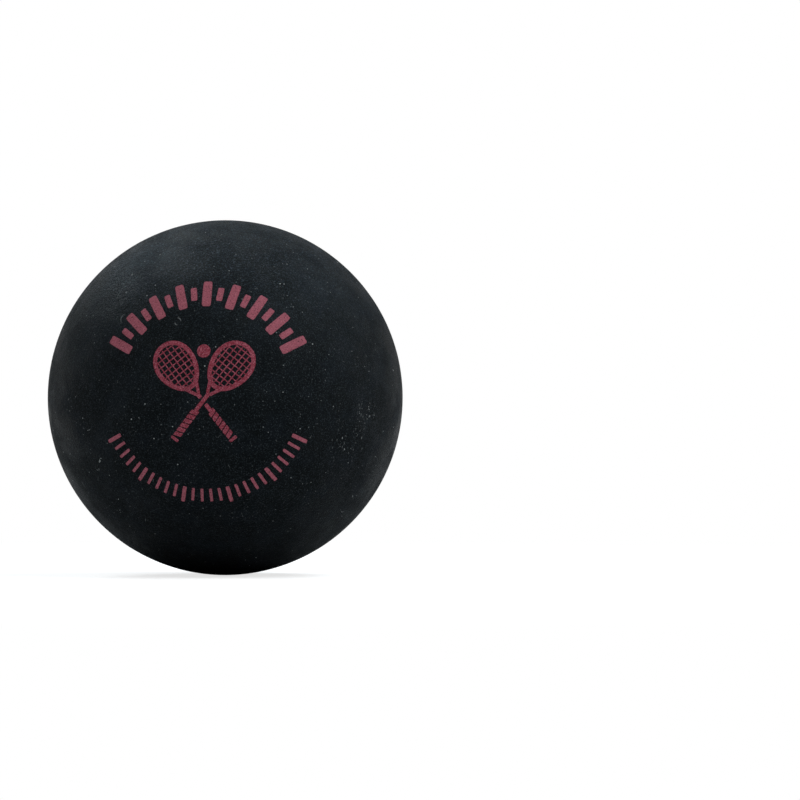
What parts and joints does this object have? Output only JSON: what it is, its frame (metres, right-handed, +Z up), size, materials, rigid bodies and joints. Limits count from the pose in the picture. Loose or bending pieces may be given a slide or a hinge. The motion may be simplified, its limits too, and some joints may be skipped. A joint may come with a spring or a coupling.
{
  "type": "squash ball",
  "caption": "Hollow black rubber squash ball of two cemented half shells, with a printed face and one small red dot on the opposite pole.",
  "frame": {"origin": "centre of the ball", "axes": "+Z up, out of the top of the printed face; -Y out of the middle of the printed face; +Y through the dot; the seam lies in the XZ plane"},
  "size_m": [0.04, 0.04, 0.04],
  "materials": {
    "shell_rubber": "moulded black rubber, buffed matt",
    "rubber_cement": "cured rubber cement, satin",
    "dot_paint": "stamped matt paint, grainy",
    "print_ink": "pad-printed matt ink"
  },
  "bodies": {
    "root": {"front_half_shell": "shell_rubber", "rear_half_shell": "shell_rubber", "seam_cement": "rubber_cement", "speed_dot": "dot_paint"}
  },
  "joints": []
}
